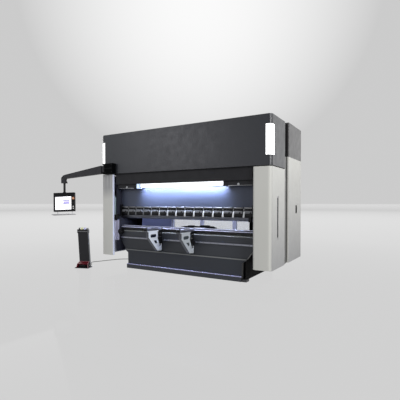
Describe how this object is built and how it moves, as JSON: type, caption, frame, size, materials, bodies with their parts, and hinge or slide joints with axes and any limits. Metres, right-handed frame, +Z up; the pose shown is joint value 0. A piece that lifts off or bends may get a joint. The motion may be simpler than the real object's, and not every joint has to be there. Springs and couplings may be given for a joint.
{
  "type": "press brake",
  "caption": "Hydraulic press brake with closed housings, sliding ram, tool clamps, sheet supports, back gauge, hinged side doors, swing-arm control panel and foot pedal station.",
  "frame": {"origin": "on the floor under the middle of the bending line", "axes": "+X along the bending line to the right as seen by the operator, +Y to the rear, +Z up"},
  "size_m": [4.7483, 2.3878, 2.799],
  "materials": {
    "dark_housing": "fine satin powder coat, dark grey",
    "dark_recess": "satin paint, near black",
    "light_cover": "fine textured paint, light warm grey",
    "rear_housing": "fine textured paint, mid grey",
    "blue_grey_frame": "satin paint, dark blue-grey",
    "clamp_steel": "blackened ground steel",
    "tool_steel": "ground steel",
    "rod_chrome": "polished",
    "gauge_paint": "satin black",
    "support_paint": "pale blue-grey paint",
    "support_alloy": "fine brushed",
    "light_bar": "smoked translucent",
    "lamp_cover": "opal white",
    "guard_window": "clear",
    "arm_paint": "satin dark grey",
    "panel_case": "fine textured grey",
    "panel_display": "lit, pale",
    "panel_controls": "moulded, light",
    "station_paint": "satin near black",
    "station_controls": "moulded, light",
    "hood_red": "satin dark red",
    "black_rubber": "matt black"
  },
  "bodies": {
    "machine": {"head_housing": "dark_housing", "lower_fascia": "dark_recess", "arm_bracket": "dark_recess", "rear_gap_cover": "dark_recess", "inner_guard_plates": "dark_recess", "levelling_feet": "dark_recess", "rear_guard_frame": "dark_recess", "rear_base_beam": "dark_recess", "rear_cabinets": "light_cover", "side_fillers": "light_cover", "rear_upper_housing": "rear_housing", "side_frames": "blue_grey_frame", "bed_plate": "blue_grey_frame", "lower_apron": "blue_grey_frame", "toe_strip": "blue_grey_frame", "cylinder_beam": "blue_grey_frame", "die_rail": "tool_steel", "table_top": "tool_steel", "front_slide_rail": "tool_steel", "gauge_rails": "tool_steel", "door_hinges": "tool_steel", "crowning_motor": "gauge_paint", "corner_light_bars": "light_bar", "work_light": "lamp_cover", "rear_guard_windows": "guard_window", "pedal_base": "station_paint", "pedal_post": "station_paint", "pedal_station_cap": "station_paint", "station_buttons": "station_controls", "pedal_hood": "hood_red", "pedal_cable": "black_rubber", "cable_glands": "black_rubber"},
    "ram": {"ram_plate": "blue_grey_frame", "tool_clamps": "clamp_steel", "punch_rail": "tool_steel", "ram_rods": "rod_chrome", "laser_guards": "gauge_paint"},
    "back_gauge": {"gauge_beam": "gauge_paint", "gauge_fingers": "tool_steel"},
    "support_left": {"support_gusset_left": "support_paint", "support_arm_left": "support_alloy", "support_carriage_left": "tool_steel"},
    "support_right": {"support_gusset_right": "support_paint", "support_arm_right": "support_alloy", "support_carriage_right": "tool_steel"},
    "arm": {"control_arm": "arm_paint"},
    "panel": {"panel_housing": "panel_case", "panel_screen": "panel_display", "panel_pole": "panel_case", "panel_buttons": "panel_controls", "panel_tray": "arm_paint"},
    "door_left": {"side_door_left": "light_cover"},
    "door_right": {"side_door_right": "light_cover"},
    "pedal": {"foot_pedal": "black_rubber"}
  },
  "joints": [
    {"name": "ram_slide", "type": "slide", "parent": "machine", "child": "ram", "axis": [0, 0, 1], "range_m": [-0.145, 0]},
    {"name": "back_gauge_slide", "type": "slide", "parent": "machine", "child": "back_gauge", "axis": [0, 1, 0], "range_m": [-0.1, 0.45]},
    {"name": "support_left_slide", "type": "slide", "parent": "machine", "child": "support_left", "axis": [1, 0, 0], "range_m": [-0.85, 0.3]},
    {"name": "support_right_slide", "type": "slide", "parent": "machine", "child": "support_right", "axis": [1, 0, 0], "range_m": [-0.25, 1.05]},
    {"name": "arm_swing", "type": "hinge", "parent": "machine", "child": "arm", "pos_m": [-1.736, -0.302, 2.05], "axis": [0, 0, 1], "range_deg": [0, 75]},
    {"name": "panel_turn", "type": "hinge", "parent": "arm", "child": "panel", "pos_m": [-2.66908, -0.55202, 1.79], "axis": [0, 0, 1], "range_deg": [-60, 60]},
    {"name": "door_left_hinge", "type": "hinge", "parent": "machine", "child": "door_left", "pos_m": [-1.851, 0.458, 1.125], "axis": [0, 0, 1], "range_deg": [-90, 0]},
    {"name": "door_right_hinge", "type": "hinge", "parent": "machine", "child": "door_right", "pos_m": [1.851, 0.458, 1.125], "axis": [0, 0, 1], "range_deg": [0, 90]},
    {"name": "pedal_press", "type": "hinge", "parent": "machine", "child": "pedal", "pos_m": [-2.05678, -0.55643, 0.056], "axis": [0.9397, 0.342, 0], "range_deg": [0, 8], "stiffness_Nm_per_rad": 6, "springref_deg": -11.46}
  ]
}
